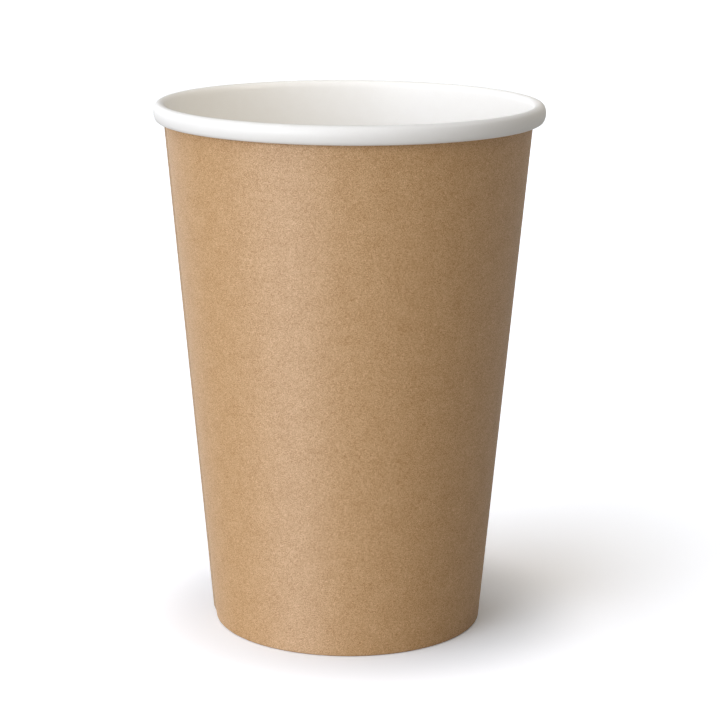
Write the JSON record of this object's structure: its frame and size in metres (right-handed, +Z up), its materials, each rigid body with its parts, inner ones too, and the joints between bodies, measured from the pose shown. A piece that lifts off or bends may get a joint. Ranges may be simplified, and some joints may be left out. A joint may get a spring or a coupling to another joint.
{
  "type": "paper coffee cup",
  "caption": "Open tapered paper cup for hot drinks, brown kraft outside and white inside, with a rolled rim and a recessed base.",
  "frame": {"origin": "centre of the foot, on the table", "axes": "+Z up along the cup's axis, out of its mouth; -Y towards the viewer; the lap seam lies near -X"},
  "size_m": [0.08, 0.08, 0.1095],
  "materials": {
    "kraft_board": "matte kraft outside, white coated inside",
    "base_board": "white coated board"
  },
  "bodies": {
    "root": {"side_wall": "kraft_board", "base_disc": "base_board"}
  },
  "joints": []
}
